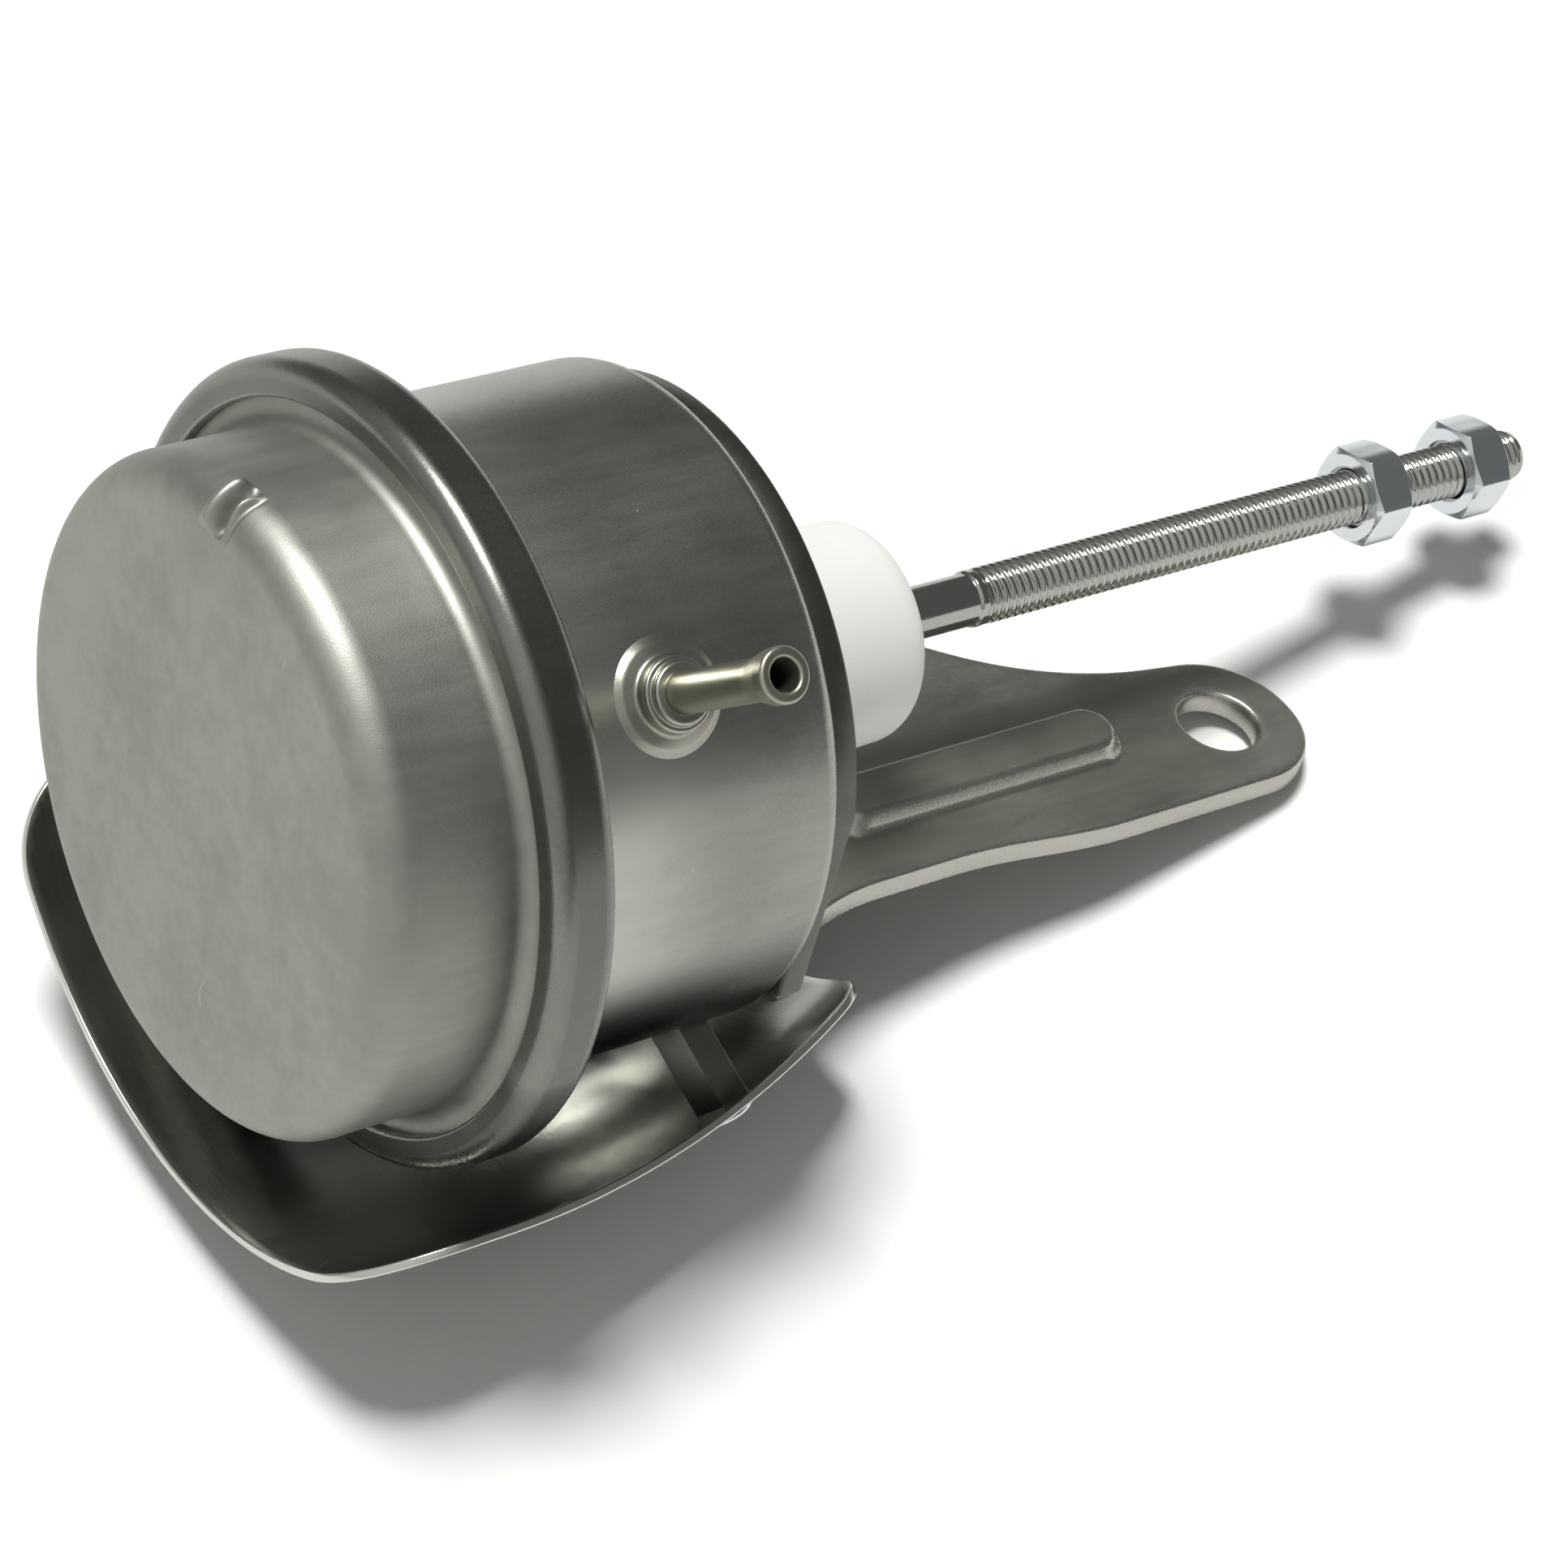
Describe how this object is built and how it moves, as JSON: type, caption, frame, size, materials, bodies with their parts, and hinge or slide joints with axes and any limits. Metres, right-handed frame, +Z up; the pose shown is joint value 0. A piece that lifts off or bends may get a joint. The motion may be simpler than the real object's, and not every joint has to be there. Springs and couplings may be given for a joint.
{
  "type": "wastegate actuator",
  "caption": "Diaphragm actuator with a crimped round can, a spring-returned threaded rod with adjusting nuts, an offset mounting bracket, a hose nipple and a curved heat shield.",
  "frame": {"origin": "on the rod's axis, at the can's rear face where the bracket is seated", "axes": "+X along the rod towards its threaded end, +Z up, square to the bracket's arm, with the arm below the rod; the hose nipple is on the -Y, +Z side"},
  "size_m": [0.1683, 0.0786, 0.086],
  "materials": {
    "can_steel": "satin, slightly worn",
    "cap_steel": "matte satin",
    "bracket_steel": "satin with grain",
    "shield_steel": "bright rolled sheet",
    "rod_steel": "ground and rolled, bright",
    "zinc_plate": "bright zinc plate",
    "nipple_steel": "bright, faintly yellow",
    "braze": "dull braze",
    "boot_silicone": "matte off-white",
    "spring_steel": "plain wire",
    "inner_steel": "plain",
    "bush_bronze": "sintered bronze",
    "black_rubber": "matte black"
  },
  "bodies": {
    "housing": {"main_can": "can_steel", "front_cap": "cap_steel", "diaphragm": "black_rubber", "return_spring": "spring_steel", "spring_seat": "inner_steel", "rod_bush": "bush_bronze", "bump_stop": "black_rubber", "rod_seal": "black_rubber", "seal_retainer": "inner_steel", "rod_boot": "boot_silicone", "bracket": "bracket_steel", "bracket_studs": "inner_steel", "bracket_washers": "zinc_plate", "bracket_nuts": "zinc_plate", "hose_nipple": "nipple_steel", "nipple_collar": "braze", "heat_shield": "shield_steel", "shield_spacers": "inner_steel", "shield_screws": "zinc_plate"},
    "rod": {"actuator_rod": "rod_steel", "piston_cup": "inner_steel", "diaphragm_retainer": "inner_steel"},
    "inner_nut_body": {"inner_nut": "zinc_plate"},
    "outer_nut_body": {"outer_nut": "zinc_plate"}
  },
  "joints": [
    {"name": "rod_slide", "type": "slide", "parent": "housing", "child": "rod", "axis": [1, 0, 0], "range_m": [0, 0.012], "stiffness_N_per_m": 3000, "springref_m": -0.008, "deforming": ["return_spring", "diaphragm"]},
    {"name": "inner_nut_travel", "type": "slide", "parent": "rod", "child": "inner_nut_body", "axis": [1, 0, 0], "range_m": [-0.05, 0.004]},
    {"name": "outer_nut_travel", "type": "slide", "parent": "rod", "child": "outer_nut_body", "axis": [1, 0, 0], "range_m": [-0.004, 0.004]}
  ]
}
